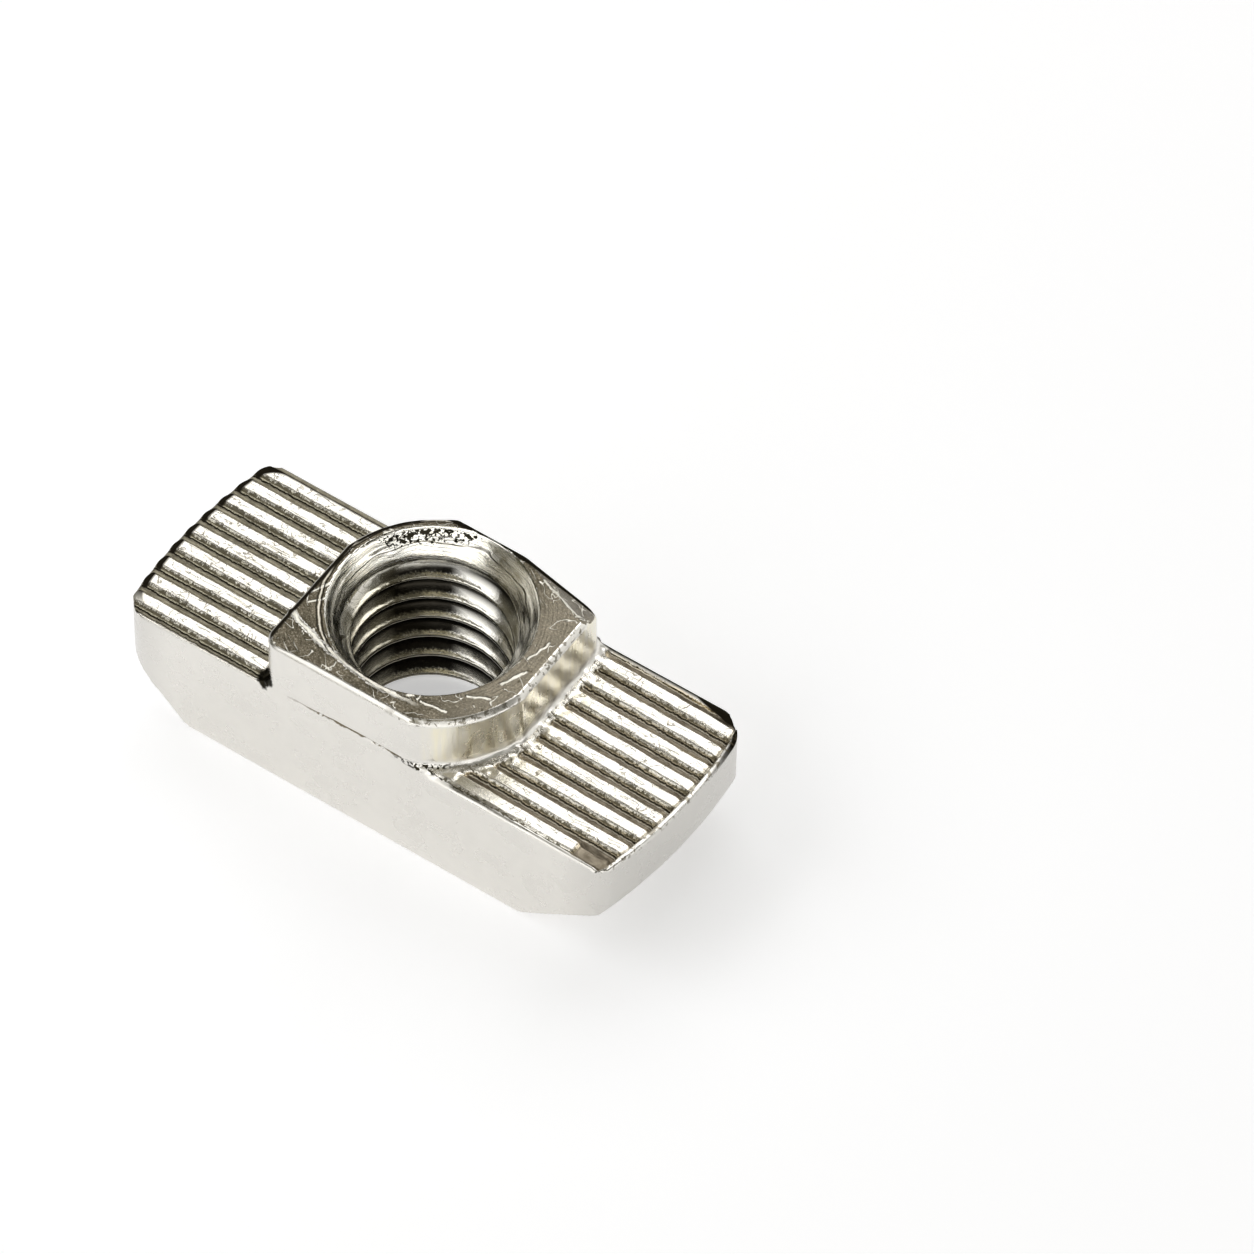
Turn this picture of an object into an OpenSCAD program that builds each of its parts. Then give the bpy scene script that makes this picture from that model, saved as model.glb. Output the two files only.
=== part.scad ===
// Hammer-head T-slot nut, forged and nickel plated, with an M6 thread.
// The narrow head goes through the mouth of an 8 mm slot, and a quarter turn locks it there.
// Frame: origin under the middle of the head, +X along the head, +Z up out of the slot.

/* [Head] */
// Overall length of the head, along X
head_length = 19.2; // [17:0.1:24]
// Width of the head, and of the neck, along Y
head_width = 7.5; // [6.6:0.1:9]
// Height of the ridged shoulders above the base
shoulder_height = 4.7; // [4.2:0.05:6.5]
// Radius of the bowed ends, seen from above
end_bow_radius = 18; // [14:0.5:30]
// How far the furthest point of each end lies to one side of the middle
end_bow_shift = 0.9; // [0:0.1:1.5]
// Radius, seen from above, of the two corners that lead as the nut turns
leading_corner_radius = 1.2; // [0.6:0.1:1.6]
// Radius, seen from above, of the two corners that trail
trailing_corner_radius = 0.5; // [0.2:0.1:1]
// Difference between the radius of the bowed end and that of the foot of its sloped underside
underside_length = 2.7; // [2:0.1:3.6]
// How much further to the side that foot's centre lies, so that the slope is steeper on one side
underside_shift = 1.6; // [0:0.1:2]
// Height of the edge between the sloped underside and the upright end
nose_height = 2.45; // [1.6:0.05:3.2]
// Length that the blunting of that edge takes off each of the two faces
nose_relief = 0.35; // [0.1:0.05:0.6]
// Radius along the long edges and the top of the ends
edge_radius = 0.25; // [0.1:0.05:0.4]

/* [Ridges] */
// Distance from one groove between the ridges to the next
groove_pitch = 0.8; // [0.6:0.05:1.2]
// Width of a groove at its mouth
groove_width = 0.42; // [0.2:0.01:0.5]
// How far the middle of the mouth lies behind the middle of the groove's floor
groove_lean = 0.07; // [0:0.01:0.1]
// Width of the flat at the bottom of a groove
groove_floor = 0.1; // [0.04:0.01:0.16]
// Depth of a groove
groove_depth = 0.17; // [0.1:0.01:0.35]

/* [Neck] */
// Length of the neck across the slot, along X
neck_length = 8; // [7.4:0.1:8.8]
// Height of the neck above the shoulders
neck_height = 2.25; // [1.6:0.05:4]
// Diameter of the circle that rounds off two opposite corners, so that the neck can turn
turn_diameter = 8.2; // [8.1:0.1:9.2]
// Radius, seen from above, of the two square corners that stop the turn
stop_corner_radius = 0.6; // [0.2:0.1:1]
// Radius of the fillet at the foot of the neck
foot_fillet = 0.28; // [0.1:0.02:0.4]
// Distance along X, from the middle, at which the dropped corner at the front left begins
front_drop_start = 1.4; // [0.5:0.1:2]
// Turn of that corner's upper edge against the long edge, in degrees
front_drop_turn = 14; // [8:1:20]
// Slope of the dropped corner at the front left, in degrees
front_drop_angle = 12; // [4:1:20]
// Distance along X, from the middle, at which the dropped corner at the back right begins
back_drop_start = 0.5; // [0.3:0.1:1.6]
// Turn of that corner's upper edge against the long edge, in degrees
back_drop_turn = 20; // [12:1:24]
// Slope of the dropped corner at the back right, in degrees
back_drop_angle = 44; // [20:1:50]

/* [Thread] */
// Nominal diameter of the thread
thread_diameter = 6; // [5:0.5:6]
// Depth that the thread's grooves reach into the wall of the bore
thread_depth = 0.45; // [0.3:0.05:0.6]
// Diameter of the countersink at the top of the neck
countersink_diameter = 6.7; // [6.3:0.1:7]
// Diameter of the small countersink that takes the burr off the hole in the base
base_countersink_diameter = 5.4; // [5.2:0.1:6.5]
// Full angle of the countersink at the top, in degrees
countersink_angle = 60; // [50:5:90]
// Full angle of the one in the base, in degrees
base_countersink_angle = 90; // [60:5:120]
// How far the bore lies from the middle of the head, along X
bore_shift_x = -0.27; // [-0.3:0.01:0.3]
// How far the bore lies from the middle of the head, along Y
bore_shift_y = 0.26; // [-0.3:0.01:0.3]

/* [Hidden] */
$fn = 96;

half_length = head_length / 2;
half_width = head_width / 2;
half_neck = neck_length / 2;
turn_radius = turn_diameter / 2;
total_height = shoulder_height + neck_height;
bow_centre = [half_length - end_bow_radius, end_bow_shift];
bore_radius = thread_diameter / 2 - thread_depth;
grooves_each_side = floor(half_width / groove_pitch + 0.5);

// Overlap that joins solids, and the reach of cutters past the surface they cut
lap = 0.5;

function direction(angle) = [cos(angle), sin(angle)];
function cone_height(mouth_diameter, angle) = (mouth_diameter / 2 - bore_radius) / tan(angle / 2);

// What a fillet takes off a convex corner: the wedge between two outward directions, seen from
// the fillet's centre, less the fillet's own circle.
module corner_waste(centre, radius, from, to) {
    reach = 2.2 * radius;
    translate(centre)
        difference() {
            polygon([
                [0, 0],
                reach * direction(from),
                1.5 * reach * direction((from + to) / 2),
                reach * direction(to)
            ]);
            circle(radius);
        }
}

// Section across the head or the neck, with rounded top edges, and rounded bottom edges if asked
module rounded_section(half_span, height, round_base) {
    r = edge_radius;
    difference() {
        translate([-half_span, 0])
            square([2 * half_span, height]);
        corner_waste([half_span - r, height - r], r, 0, 90);
        corner_waste([r - half_span, height - r], r, 90, 180);
        if (round_base) {
            corner_waste([half_span - r, r], r, 270, 360);
            corner_waste([r - half_span, r], r, 180, 270);
        }
    }
}

// Half section through one end of the head above its underside, seen from the centre of the bow
module end_section() {
    slope = atan2(nose_height, underside_length);
    inset = nose_relief * cos(slope);
    drop = nose_relief * sin(slope);
    difference() {
        polygon([
            [0, nose_height - drop],
            [end_bow_radius - inset, nose_height - drop],
            [end_bow_radius, nose_height + nose_relief],
            [end_bow_radius, shoulder_height],
            [0, shoulder_height]
        ]);
        corner_waste([end_bow_radius - edge_radius, shoulder_height - edge_radius],
            edge_radius, 0, 90);
    }
}

// The sloped underside of one end: a cone that leans, because its foot lies further to the side
module underside() {
    slope = atan2(nose_height, underside_length);
    height = nose_height - nose_relief * sin(slope);
    top_radius = end_bow_radius - nose_relief * cos(slope);
    lean = underside_shift / height;
    multmatrix([
        [1, 0, 0, 0],
        [0, 1, -lean, underside_shift],
        [0, 0, 1, 0],
        [0, 0, 0, 1]
    ])
        cylinder(h = height, r1 = end_bow_radius - underside_length, r2 = top_radius);
}

// Half of the long block that the head is cut from, from the middle outwards
module half_block() {
    rotate([90, 0, 90])
        linear_extrude(half_length + lap)
            rounded_section(half_width, shoulder_height, true);
}

// Half of the head, whose bowed end is turned about the centre of its bow
module bowed_half() {
    intersection() {
        half_block();
        translate(bow_centre)
            rotate_extrude()
                end_section();
    }
    intersection() {
        half_block();
        translate(bow_centre)
            underside();
    }
}

// Waste at a plan corner of the head; side is -1 at the front and 1 at the back
module plan_corner(radius, side) {
    centre_y = side * (half_width - radius);
    along = end_bow_radius - radius;
    across = centre_y - bow_centre[1];
    centre_x = bow_centre[0] + sqrt(along * along - across * across);
    bow_angle = asin(across / along);
    translate([0, 0, -lap])
        linear_extrude(shoulder_height + 2 * lap)
            corner_waste([centre_x, centre_y], radius, min(bow_angle, side * 90), max(bow_angle, side * 90));
}

// Both ends of the nut, which are alike when it is turned half round
module both_ends() {
    children();
    rotate([0, 0, 180])
        children();
}

module head() {
    both_ends()
        difference() {
            bowed_half();
            plan_corner(trailing_corner_radius, -1);
            plan_corner(leading_corner_radius, 1);
        }
}

// Outline of the neck, grown outwards by a margin
module neck_outline(margin) {
    r = stop_corner_radius + margin;
    x = half_neck + margin;
    y = half_width + margin;
    intersection() {
        square([2 * x, 2 * y], center = true);
        union() {
            circle(turn_radius + margin);
            both_ends()
                difference() {
                    square([x, y]);
                    corner_waste([x - r, y - r], r, 0, 90);
                }
        }
    }
}

// A disc with a rounded top edge, which shapes the turned corners of the neck
module turned_disc() {
    rotate_extrude()
        difference() {
            square([turn_radius, total_height]);
            corner_waste([turn_radius - edge_radius, total_height - edge_radius], edge_radius, 0, 90);
        }
}

// Two quadrants that keep the other two corners square
module square_quadrants() {
    both_ends()
        cube([turn_radius, turn_radius, total_height + lap]);
}

// The sloped cut that a dropped corner of the neck leaves, at the back right
module dropped_corner(start, turn, angle) {
    translate([start, half_width, total_height])
        rotate([0, 0, -turn])
            rotate([-angle, 0, 0])
                translate([-head_width, 0, 0])
                    cube([2 * head_width, head_width, neck_height]);
}

module neck() {
    base = shoulder_height - lap;
    difference() {
        intersection() {
            translate([0, 0, base])
                linear_extrude(neck_height + 2 * lap)
                    neck_outline(0);
            translate([-half_neck - lap, 0, 0])
                rotate([90, 0, 90])
                    linear_extrude(neck_length + 2 * lap)
                        rounded_section(half_width, total_height, false);
            translate([0, half_width + lap, 0])
                rotate([90, 0, 0])
                    linear_extrude(head_width + 2 * lap)
                        rounded_section(half_neck, total_height, false);
            union() {
                turned_disc();
                square_quadrants();
            }
        }
        dropped_corner(back_drop_start, back_drop_turn, back_drop_angle);
        rotate([0, 0, 180])
            dropped_corner(front_drop_start, front_drop_turn, front_drop_angle);
    }
}

// Section of the fillet at the foot of a wall that stands at a given distance. It reaches a
// little into the wall and the shoulder.
module foot_section(wall) {
    root = min(foot_fillet, stop_corner_radius) / 2;
    difference() {
        translate([wall - root, shoulder_height - root])
            square(foot_fillet + root);
        translate([wall + foot_fillet, shoulder_height + foot_fillet])
            circle(foot_fillet);
    }
}

// Fillet at the foot of one end of the neck: round the turned corner, along the straight, and
// round the square corner
module foot_at_end() {
    corner_x = half_neck - stop_corner_radius;
    corner_y = half_width - stop_corner_radius;
    turn_end = asin(half_width / turn_radius);
    straight_start = -sqrt(turn_radius * turn_radius - half_neck * half_neck);
    rotate([0, 0, -turn_end])
        rotate_extrude(angle = turn_end + asin(straight_start / turn_radius))
            foot_section(turn_radius);
    translate([0, corner_y, 0])
        rotate([90, 0, 0])
            linear_extrude(corner_y - straight_start)
                foot_section(half_neck);
    translate([corner_x, corner_y, 0])
        rotate_extrude(angle = 90)
            translate([-corner_x, 0])
                foot_section(half_neck);
}

// The fillet stops at the head's long sides
module neck_foot() {
    intersection() {
        both_ends()
            foot_at_end();
        translate([-half_length, -half_width, 0])
            cube([head_length, head_width, total_height]);
    }
}

// The grooves between the ridges run along both shoulders and stop short of the neck
module grooves() {
    difference() {
        for (i = [-grooves_each_side : grooves_each_side - 1])
            translate([-half_length - lap, (i + 0.5) * groove_pitch, shoulder_height])
                rotate([90, 0, 90])
                    linear_extrude(head_length + 2 * lap)
                        polygon([
                            [groove_lean - groove_width / 2, 0],
                            [-groove_floor / 2, -groove_depth],
                            [groove_floor / 2, -groove_depth],
                            [groove_lean + groove_width / 2, 0],
                            [groove_lean + groove_width / 2, lap],
                            [groove_lean - groove_width / 2, lap]
                        ]);
        linear_extrude(total_height)
            neck_outline(foot_fillet);
    }
}

// The tapped hole at its crests, with a countersink at each mouth
module tapped_hole() {
    top_cone = cone_height(countersink_diameter, countersink_angle);
    base_cone = cone_height(base_countersink_diameter, base_countersink_angle);
    translate([bore_shift_x, bore_shift_y, 0]) {
        translate([0, 0, -lap])
            cylinder(h = total_height + 2 * lap, r = bore_radius);
        translate([0, 0, total_height - top_cone])
            cylinder(h = 2 * top_cone, r1 = bore_radius, r2 = countersink_diameter - bore_radius);
        translate([0, 0, -base_cone])
            cylinder(h = 2 * base_cone, r1 = base_countersink_diameter - bore_radius, r2 = bore_radius);
    }
}

module t_slot_nut() {
    color("#d9d5cc")
        difference() {
            union() {
                difference() {
                    head();
                    grooves();
                }
                neck();
                neck_foot();
            }
            tapped_hole();
        }
}

t_slot_nut();
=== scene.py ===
import math

import bpy
import numpy as np
from mathutils import Matrix, Vector, noise


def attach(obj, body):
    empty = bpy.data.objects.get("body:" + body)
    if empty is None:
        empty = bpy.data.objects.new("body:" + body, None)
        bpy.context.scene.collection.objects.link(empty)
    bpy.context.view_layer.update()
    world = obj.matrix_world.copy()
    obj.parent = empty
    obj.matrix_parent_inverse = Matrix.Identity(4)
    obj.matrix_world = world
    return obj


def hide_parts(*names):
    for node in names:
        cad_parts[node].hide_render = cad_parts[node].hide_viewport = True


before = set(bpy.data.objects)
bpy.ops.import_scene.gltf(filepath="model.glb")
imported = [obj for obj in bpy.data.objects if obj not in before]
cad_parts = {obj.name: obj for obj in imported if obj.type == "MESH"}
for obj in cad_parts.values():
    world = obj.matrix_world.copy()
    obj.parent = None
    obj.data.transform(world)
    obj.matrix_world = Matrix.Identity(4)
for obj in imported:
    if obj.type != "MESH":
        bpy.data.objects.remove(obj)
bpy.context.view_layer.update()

# ---- The nut ----
# One forged hammer-head T-slot nut, bright nickel plated. Its ridged shoulders bear on the lips
# of the slot, the neck stands in the slot's mouth, and an M6 thread is tapped down through both.
MM = 0.001

HEAD_LENGTH = 19.2
HALF_WIDTH = 3.75
SHOULDER = 4.7
TOP = 6.95
BOW_RADIUS = 18
BOW_CENTRES = [(HEAD_LENGTH / 2 - BOW_RADIUS, 0.9), (BOW_RADIUS - HEAD_LENGTH / 2, -0.9)]
RIGHT_RIM_ROUNDING, LEFT_RIM_ROUNDING = 0.16, 0.3
FOOT_RADIUS = 15.3
FOOT_SHIFT = 1.6
NOSE_HEIGHT = 2.45
NOSE_ROUNDING = 0.42
LONG_EDGE_ROUNDING = 0.25
BASE_EDGE_ROUNDING = 0.12
BLANK_REACH = 9.8


def only(piece):
    bpy.ops.object.select_all(action="DESELECT")
    piece.select_set(True)
    bpy.context.view_layer.objects.active = piece


def settle(piece):
    """Moves a piece's place and size into its mesh."""
    only(piece)
    bpy.ops.object.transform_apply(location=True, rotation=True, scale=True)
    return piece


def block(low, high):
    """A rectangular block between two corners, in millimetres."""
    bpy.ops.object.select_all(action="DESELECT")
    bpy.ops.mesh.primitive_cube_add(
        size=1,
        location=[(a + b) / 2 * MM for a, b in zip(low, high)],
        scale=[(b - a) * MM for a, b in zip(low, high)],
    )
    return settle(bpy.context.object)


def drum(centre, radius, low, high, sides=128, top_radius=None):
    """An upright turned disc, or a cone where its top has another radius."""
    bpy.ops.object.select_all(action="DESELECT")
    bpy.ops.mesh.primitive_cone_add(
        vertices=sides,
        radius1=radius * MM,
        radius2=(radius if top_radius is None else top_radius) * MM,
        depth=(high - low) * MM,
        location=(centre[0] * MM, centre[1] * MM, (low + high) / 2 * MM),
    )
    return settle(bpy.context.object)


def finish_modifier(piece, kind, **settings):
    only(piece)
    step = piece.modifiers.new(kind.lower(), kind)
    for key, value in settings.items():
        setattr(step, key, value)
    bpy.ops.object.modifier_apply(modifier=step.name)


def machine(body, tool, operation):
    """Joins, cuts or intersects two solids, and uses up the second."""
    finish_modifier(body, "BOOLEAN", operation=operation, object=tool, solver="MANIFOLD")
    bpy.data.objects.remove(tool)
    return body


def pick(piece, kind, wanted):
    """Opens the piece in edit mode with its edges or faces that pass the test selected."""
    only(piece)
    bpy.ops.object.mode_set(mode="EDIT")
    bpy.ops.mesh.select_mode(type=kind)
    bpy.ops.mesh.select_all(action="DESELECT")
    bpy.ops.object.mode_set(mode="OBJECT")
    for item in piece.data.edges if kind == "EDGE" else piece.data.polygons:
        item.select = wanted(item)
    bpy.ops.object.mode_set(mode="EDIT")


def pick_face(piece, direction):
    """The faces that look straight up (1) or down (-1)."""
    pick(piece, "FACE", lambda face: face.normal.z * direction > 0.9)


def round_edges(piece, wanted, radius, segments=5):
    """Rounds the edges whose two ends, in millimetres, pass the test."""
    ends = [v.co / MM for v in piece.data.vertices]
    pick(piece, "EDGE", lambda edge: wanted(ends[edge.vertices[0]], ends[edge.vertices[1]]))
    bpy.ops.mesh.bevel(offset=radius * MM, segments=segments, affect="EDGES")
    bpy.ops.object.mode_set(mode="OBJECT")
    return piece


def level(z, tolerance=1e-3):
    return lambda a, b: abs(a.z - z) < tolerance and abs(b.z - z) < tolerance


def plane_cut(piece, point, normal):
    """Saws off what lies beyond a plane."""
    only(piece)
    bpy.ops.object.mode_set(mode="EDIT")
    bpy.ops.mesh.select_all(action="SELECT")
    bpy.ops.mesh.bisect(
        plane_co=[c * MM for c in point],
        plane_no=normal,
        use_fill=True,
        clear_outer=True,
        threshold=1e-8,
    )
    bpy.ops.object.mode_set(mode="OBJECT")
    return piece


# The head: a long block with rounded edges. Each bowed end is turned about the centre of its bow,
# and its sloped underside leans, because the foot of the slope has its centre further to the side.
nut = block((-BLANK_REACH, -HALF_WIDTH, 0), (BLANK_REACH, HALF_WIDTH, SHOULDER))
round_edges(nut, lambda a, b: abs(a.x - b.x) > 1, LONG_EDGE_ROUNDING)
for centre, side, rim in zip(BOW_CENTRES, (1, -1), (RIGHT_RIM_ROUNDING, LEFT_RIM_ROUNDING)):
    end = drum(centre, FOOT_RADIUS, 0, NOSE_HEIGHT, 256, BOW_RADIUS)
    pick_face(end, -1)
    bpy.ops.transform.translate(value=(0, side * FOOT_SHIFT * MM, 0))
    bpy.ops.object.mode_set(mode="OBJECT")
    pick_face(end, 1)
    bpy.ops.mesh.extrude_region_move(
        TRANSFORM_OT_translate={"value": (0, 0, (SHOULDER - NOSE_HEIGHT) * MM)}
    )
    bpy.ops.object.mode_set(mode="OBJECT")
    round_edges(end, level(SHOULDER), rim)
    round_edges(end, level(NOSE_HEIGHT), NOSE_ROUNDING, 7)
    round_edges(end, level(0), BASE_EDGE_ROUNDING, 3)
    machine(nut, end, "INTERSECT")

# The four corners of the head, seen from above: (end, side, radius)
for end, side, radius in [(-1, -1, 1.1), (1, 1, 1.3), (1, -1, 0.45), (-1, 1, 0.9)]:
    bow_x, bow_y = BOW_CENTRES[0] if end > 0 else BOW_CENTRES[1]
    y = side * (HALF_WIDTH - radius)
    x = bow_x + end * math.sqrt((BOW_RADIUS - radius) ** 2 - (y - bow_y) ** 2)
    far_x, far_y = x + end * 2, y + side * 2
    waste = block((min(x, far_x), min(y, far_y), -1), (max(x, far_x), max(y, far_y), 6))
    machine(waste, drum((x, y), radius, -2, 7, 64), "DIFFERENCE")
    machine(nut, waste, "DIFFERENCE")

# The neck is as wide as the slot. Two of its corners are square and stop it after a quarter turn,
# and the other two follow the circle in which it turns.
HALF_NECK = 4.0
TURN_RADIUS = 4.1
SQUARE_CORNERS = {-1: 0.6, 1: 0.85}
TOP_CHAMFER = (0.18, 1)
FOOT_ROUNDING = (0.02, 2)


def neck_solid(margin, low, high):
    """The neck's outline with a margin round it, between two heights."""
    x, y = HALF_NECK + margin, HALF_WIDTH + margin
    solid = block((-x, -y, low), (x, y, high))
    for sign, radius in SQUARE_CORNERS.items():
        round_edges(
            solid,
            lambda a, b: abs(a.z - b.z) > 0.1 and sign * a.x > 0 and sign * a.y > 0,
            radius + margin,
            8,
        )
    rim = TOP_CHAMFER if margin == 0 else FOOT_ROUNDING
    round_edges(solid, level(high), *rim)
    turned = drum((0, 0), TURN_RADIUS + margin, low - 0.1, high, 256)
    round_edges(turned, level(high), *rim)
    for sign in (-1, 1):
        corner = block(
            (min(0, sign * 6), min(0, sign * 6), low - 0.2),
            (max(0, sign * 6), max(0, sign * 6), high + 0.2),
        )
        machine(turned, corner, "UNION")
    return machine(solid, turned, "INTERSECT")


# The grooves between the ridges, steep on their front side. They stop at the fillet round the
# neck. On the right they lie a little nearer the front and end inside the rim; on the left they
# run out over the edge.
PITCH = 0.8
GROOVE_DEPTH = 0.165
GROOVE_FRONT, GROOVE_BACK = 0.204, 0.41
GROOVE_FLOOR = 0.10
GROOVE_LEAN = 0.087
GROOVE_SHIFTS = {-1: 0.0, 1: -0.15}
GROOVES = range(-5, 5)
RIGHT_RIM = 0.24
NECK_CLEARANCE = 0.28

past_end = BLANK_REACH + 0.1
grooves = None
for wing, shift in GROOVE_SHIFTS.items():
    row = None
    for i in GROOVES:
        y = (i + 0.5) * PITCH + shift
        groove = block(
            (min(0, wing * past_end), y - GROOVE_FRONT, SHOULDER - GROOVE_DEPTH),
            (max(0, wing * past_end), y + GROOVE_BACK, SHOULDER + 0.1),
        )
        pick_face(groove, -1)
        bpy.ops.transform.resize(value=(1, GROOVE_FLOOR / (GROOVE_FRONT + GROOVE_BACK), 1))
        bpy.ops.transform.translate(value=(0, -GROOVE_LEAN * MM, 0))
        bpy.ops.object.mode_set(mode="OBJECT")
        row = groove if row is None else machine(row, groove, "UNION")
    if wing > 0:
        machine(row, drum(BOW_CENTRES[0], BOW_RADIUS - RIGHT_RIM, 3, 8, 256), "INTERSECT")
    grooves = row if grooves is None else machine(grooves, row, "UNION")
machine(grooves, neck_solid(NECK_CLEARANCE, 3, 8), "DIFFERENCE")
machine(nut, grooves, "DIFFERENCE")

# The neck, with its two dropped corners, each a plane's point and normal, and the stepped foot
# that the smoothing makes a fillet, as (margin, height)
BACK_DROP = Vector((0.5, HALF_WIDTH, TOP)), Vector((0.2376, 0.6527, 0.7193))
FRONT_DROP = Vector((-1.4, -HALF_WIDTH, TOP)), Vector((-0.0503, -0.2017, 0.978))
BACK_DROP_ROUNDING = 0.16
FOOT_STEPS = [(0.015, 0.2), (0.045, 0.13), (0.09, 0.08), (0.17, 0.035)]


def edge_of_back_drop(a, b):
    point, normal = BACK_DROP
    return all(abs((c - point).dot(normal)) < 1e-3 and c.z < TOP - 0.05 for c in (a, b))


neck = neck_solid(0, SHOULDER - 0.5, TOP)
plane_cut(neck, *BACK_DROP)
plane_cut(neck, *FRONT_DROP)
round_edges(neck, edge_of_back_drop, BACK_DROP_ROUNDING, 3)
machine(nut, neck, "UNION")
for margin, height in FOOT_STEPS:
    foot = neck_solid(margin, SHOULDER - 0.4, SHOULDER + height)
    machine(foot, block((-9, -HALF_WIDTH, 3), (9, HALF_WIDTH, 8)), "INTERSECT")
    machine(nut, foot, "UNION")

# The tap: one turn of the M6 thread's profile, as (radius, height), wound up the bore and closed
# at both ends. The countersink and the small chamfer in the base follow it.
BORE = (-0.27, 0.26)
CREST_RADIUS = 2.55
ROOT_RADIUS = 3.0
THREAD_PITCH = 1.0
THREAD_START = -1.16
THREAD_TURNS = 9
SINK_DEPTH = 1.472
SINK_ROOT, SINK_MOUTH = 2.5, 3.4655
BASE_CHAMFER_MOUTH = 2.9
PAST_END = 0.2
TURN = [
    (CREST_RADIUS, 0.0),
    (CREST_RADIUS, 0.07),
    (2.69, 0.15),
    (2.90, 0.35),
    (2.97, 0.45),
    (ROOT_RADIUS, 0.56),
    (2.96, 0.68),
    (CREST_RADIUS, 1.0),
]
mesh = bpy.data.meshes.new("tap")
mesh.from_pydata(
    [(r * MM, 0, (z + THREAD_START) * MM) for r, z in TURN],
    [(i, i + 1) for i in range(len(TURN) - 1)],
    [],
)
tap = bpy.data.objects.new("tap", mesh)
bpy.context.scene.collection.objects.link(tap)
finish_modifier(
    tap,
    "SCREW",
    axis="Z",
    screw_offset=THREAD_PITCH * MM,
    iterations=THREAD_TURNS,
    steps=96,
    render_steps=96,
    use_smooth_shade=False,
)
only(tap)
bpy.ops.object.mode_set(mode="EDIT")
bpy.ops.mesh.select_all(action="SELECT")
bpy.ops.mesh.remove_doubles(threshold=1e-7)
bpy.ops.mesh.select_all(action="DESELECT")
bpy.ops.mesh.select_mode(type="EDGE")
bpy.ops.mesh.select_non_manifold()
bpy.ops.mesh.edge_face_add()
bpy.ops.mesh.select_all(action="SELECT")
bpy.ops.mesh.normals_make_consistent(inside=False)
bpy.ops.object.mode_set(mode="OBJECT")
tap.location = (BORE[0] * MM, BORE[1] * MM, 0)
settle(tap)
machine(nut, tap, "DIFFERENCE")
sink = drum(BORE, SINK_ROOT, TOP - SINK_DEPTH, TOP + PAST_END, 192, SINK_MOUTH)
machine(nut, sink, "DIFFERENCE")
machine(nut, drum(BORE, BASE_CHAMFER_MOUTH, -PAST_END, 0.2, 192, SINK_ROOT), "DIFFERENCE")

GRAIN_SIZE = 0.05
nut.name = "nut"
finish_modifier(nut, "REMESH", mode="VOXEL", voxel_size=GRAIN_SIZE * MM)
finish_modifier(nut, "SMOOTH", factor=0.5, iterations=2)


# What the press, the tap and the barrel left on it is worked in point by point
def ripple(points, size, seed=0.0):
    """A smooth irregular swing from -1 to 1 over the given lengths, in millimetres."""
    return np.array([noise.noise(p) for p in (points / np.array(size) + seed).tolist()])


def fade(value, start, end):
    """A soft step, 0 at the start and 1 at the end."""
    t = np.clip((value - start) / (end - start), 0, 1)
    return t * t * (3 - 2 * t)


def bell(value, width):
    return np.exp(-((value / width) ** 2))


def gaps(x, y):
    """How far points lie from the middle, outside the neck, inside the rim of their bowed end,
    inside the head's whole rim, and from the bore's axis."""
    reach = np.hypot(x, y)
    outside_neck = np.where(
        x * y < 0, np.maximum(np.abs(x) - HALF_NECK, reach - TURN_RADIUS), np.abs(x) - HALF_NECK
    )
    bows = [np.hypot(x - bow_x, y - bow_y) for bow_x, bow_y in BOW_CENTRES]
    end_inset = BOW_RADIUS - np.where(x > 0, *bows)
    inset = np.minimum(end_inset, HALF_WIDTH - np.abs(y))
    return reach, outside_neck, end_inset, inset, np.hypot(x - BORE[0], y - BORE[1])


points = np.empty(len(nut.data.vertices) * 3)
nut.data.vertices.foreach_get("co", points)
points = points.reshape(-1, 3) / MM
x, y, z = points.T.copy()
reach, outside_neck, end_inset, inset, from_bore = gaps(x, y)
wing_top = fade(z, 4.3, 4.45) * fade(outside_neck, 0.1, 0.35)

# The right wing's ridges are pressed deeper than the rim round them, and more so towards the end.
# A ditch follows the rim, and the front corner is struck once more.
FIELD_START, FIELD_LENGTH = 4.5, 4.2
FIELD_DEPTH, FIELD_SLOPE = 0.05, 0.0333
right = fade(x, 3.0, 3.2) * wing_top
pressed = fade(end_inset, 0.15, 0.33) * fade(y + HALF_WIDTH, 0.10, 0.26)
pressed *= fade(HALF_WIDTH - y, 0.08, 0.24)
drop = (FIELD_DEPTH + FIELD_SLOPE * np.clip(x - FIELD_START, 0, FIELD_LENGTH)) * pressed
drop += 0.05 * bell(end_inset - 0.37, 0.07)
skew = 0.1 * (x - 7.5)
drop += 0.17 * pressed * fade(x, 7.5, 7.75) * fade(-y, 2.85 + skew, 3.0 + skew)
points[:, 2] -= drop * right

# The foot between the ridges' ends and the neck's wall is uneven
foot = fade(outside_neck, 0.0, 0.15) * fade(outside_neck, 0.8, 0.5)
foot = foot * fade(z, SHOULDER - 0.15, SHOULDER - 0.08)
points[:, 2] += ripple(points, (0.32, 0.32, 0.6), 12.0) * 0.06 * foot * fade(x, 3.5, 3.8)

# On the left the grooves run out over the rim and notch it
notch = np.cos(points[:, 1] / PITCH * 2 * math.pi - math.pi) * 0.5 + 0.5
notch = 0.07 * notch * fade(-x, 8.0, 8.5) * fade(z, 4.35, 4.6)
points[:, 0] += notch * fade(end_inset, 0.35, 0.1)

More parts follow.
